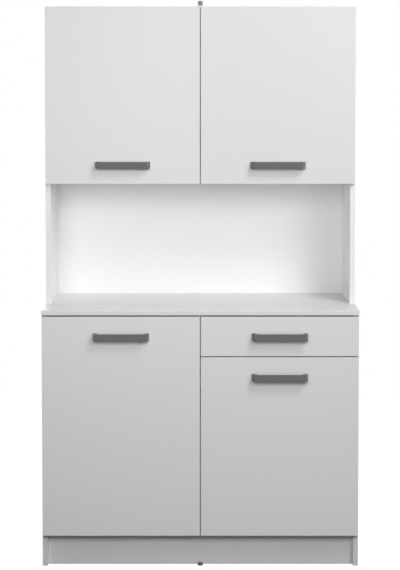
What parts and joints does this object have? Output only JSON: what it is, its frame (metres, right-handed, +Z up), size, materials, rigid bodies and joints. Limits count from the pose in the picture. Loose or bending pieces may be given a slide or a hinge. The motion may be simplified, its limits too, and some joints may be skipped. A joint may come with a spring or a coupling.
{
  "type": "microwave cabinet",
  "caption": "Tall white kitchen cabinet: base unit with doors, drawer and worktop, carrying a hutch with an open microwave niche under a doored cupboard, dark bow handles.",
  "frame": {"origin": "on the floor, under the middle of the whole object's box", "axes": "+Z up, the fronts face -Y, +X to the viewer's right when standing in front of the doors"},
  "size_m": [1, 0.476, 1.8101],
  "materials": {
    "melamine_board": "white melamine-faced particle board, satin",
    "back_sheet": "white lacquered thin fibreboard, matt",
    "graphite_handle": "satin dark grey lacquer",
    "nickel_steel": "nickel-plated pressed steel",
    "zinc_steel": "zinc-plated steel",
    "coated_steel": "pale epoxy-coated steel",
    "dark_plastic": "dark grey moulded plastic"
  },
  "bodies": {
    "root": {"base_left_side": "melamine_board", "base_right_side": "melamine_board", "base_bottom": "melamine_board", "base_partition": "melamine_board", "base_shelf_left": "melamine_board", "base_shelf_right": "melamine_board", "plinth": "melamine_board", "base_back": "back_sheet", "worktop": "melamine_board", "centre_foot": "dark_plastic", "hutch_left_side": "melamine_board", "hutch_right_side": "melamine_board", "hutch_top": "melamine_board", "hutch_bottom": "melamine_board", "hutch_partition": "melamine_board", "hutch_shelf_left": "melamine_board", "hutch_shelf_right": "melamine_board", "hutch_back": "back_sheet", "wall_bracket": "zinc_steel", "lower_left_bottom_hinge_arm": "nickel_steel", "lower_left_top_hinge_arm": "nickel_steel", "lower_right_bottom_hinge_arm": "nickel_steel", "lower_right_top_hinge_arm": "nickel_steel", "upper_left_bottom_hinge_arm": "nickel_steel", "upper_left_top_hinge_arm": "nickel_steel", "upper_right_bottom_hinge_arm": "nickel_steel", "upper_right_top_hinge_arm": "nickel_steel", "cabinet_runner_left": "coated_steel", "cabinet_runner_right": "coated_steel"},
    "lower_left_links": {"lower_left_bottom_hinge_link": "nickel_steel", "lower_left_top_hinge_link": "nickel_steel"},
    "lower_left_leaf": {"lower_left_door": "melamine_board", "lower_left_handle": "graphite_handle", "lower_left_bottom_hinge_cup": "nickel_steel", "lower_left_top_hinge_cup": "nickel_steel"},
    "lower_right_links": {"lower_right_bottom_hinge_link": "nickel_steel", "lower_right_top_hinge_link": "nickel_steel"},
    "lower_right_leaf": {"lower_right_door": "melamine_board", "lower_right_handle": "graphite_handle", "lower_right_bottom_hinge_cup": "nickel_steel", "lower_right_top_hinge_cup": "nickel_steel"},
    "upper_left_links": {"upper_left_bottom_hinge_link": "nickel_steel", "upper_left_top_hinge_link": "nickel_steel"},
    "upper_left_leaf": {"upper_left_door": "melamine_board", "upper_left_handle": "graphite_handle", "upper_left_bottom_hinge_cup": "nickel_steel", "upper_left_top_hinge_cup": "nickel_steel"},
    "upper_right_links": {"upper_right_bottom_hinge_link": "nickel_steel", "upper_right_top_hinge_link": "nickel_steel"},
    "upper_right_leaf": {"upper_right_door": "melamine_board", "upper_right_handle": "graphite_handle", "upper_right_bottom_hinge_cup": "nickel_steel", "upper_right_top_hinge_cup": "nickel_steel"},
    "drawer": {"drawer_front": "melamine_board", "drawer_handle": "graphite_handle", "drawer_wrap": "melamine_board", "drawer_bottom": "back_sheet", "drawer_runner_left": "coated_steel", "drawer_runner_right": "coated_steel"}
  },
  "joints": [
    {"name": "lower_left_link_turn", "type": "hinge", "parent": "root", "child": "lower_left_links", "pos_m": [-0.4721, -0.1914, 0.4], "axis": [0, 0, -1], "range_deg": [-36, 0]},
    {"name": "lower_left_door_swing", "type": "hinge", "parent": "lower_left_links", "child": "lower_left_leaf", "pos_m": [-0.48935, -0.19965, 0.4], "axis": [0, 0, -1], "range_deg": [0, 130.8]},
    {"name": "lower_right_link_turn", "type": "hinge", "parent": "root", "child": "lower_right_links", "pos_m": [0.4721, -0.1914, 0.4], "axis": [0, 0, 1], "range_deg": [-36, 0]},
    {"name": "lower_right_door_swing", "type": "hinge", "parent": "lower_right_links", "child": "lower_right_leaf", "pos_m": [0.48935, -0.19965, 0.4], "axis": [0, 0, 1], "range_deg": [0, 130.8]},
    {"name": "upper_left_link_turn", "type": "hinge", "parent": "root", "child": "upper_left_links", "pos_m": [-0.4721, -0.0414, 1.49], "axis": [0, 0, -1], "range_deg": [-36, 0]},
    {"name": "upper_left_door_swing", "type": "hinge", "parent": "upper_left_links", "child": "upper_left_leaf", "pos_m": [-0.48935, -0.04965, 1.49], "axis": [0, 0, -1], "range_deg": [0, 130.8]},
    {"name": "upper_right_link_turn", "type": "hinge", "parent": "root", "child": "upper_right_links", "pos_m": [0.4721, -0.0414, 1.49], "axis": [0, 0, 1], "range_deg": [-36, 0]},
    {"name": "upper_right_door_swing", "type": "hinge", "parent": "upper_right_links", "child": "upper_right_leaf", "pos_m": [0.48935, -0.04965, 1.49], "axis": [0, 0, 1], "range_deg": [0, 130.8]},
    {"name": "drawer_slide", "type": "slide", "parent": "root", "child": "drawer", "axis": [0, -1, 0], "range_m": [0, 0.26]}
  ],
  "couplings": [
    {"joint": "lower_left_link_turn", "follows": "lower_left_door_swing", "ratio": -0.2735},
    {"joint": "lower_right_link_turn", "follows": "lower_right_door_swing", "ratio": -0.2735},
    {"joint": "upper_left_link_turn", "follows": "upper_left_door_swing", "ratio": -0.2735},
    {"joint": "upper_right_link_turn", "follows": "upper_right_door_swing", "ratio": -0.2735}
  ]
}
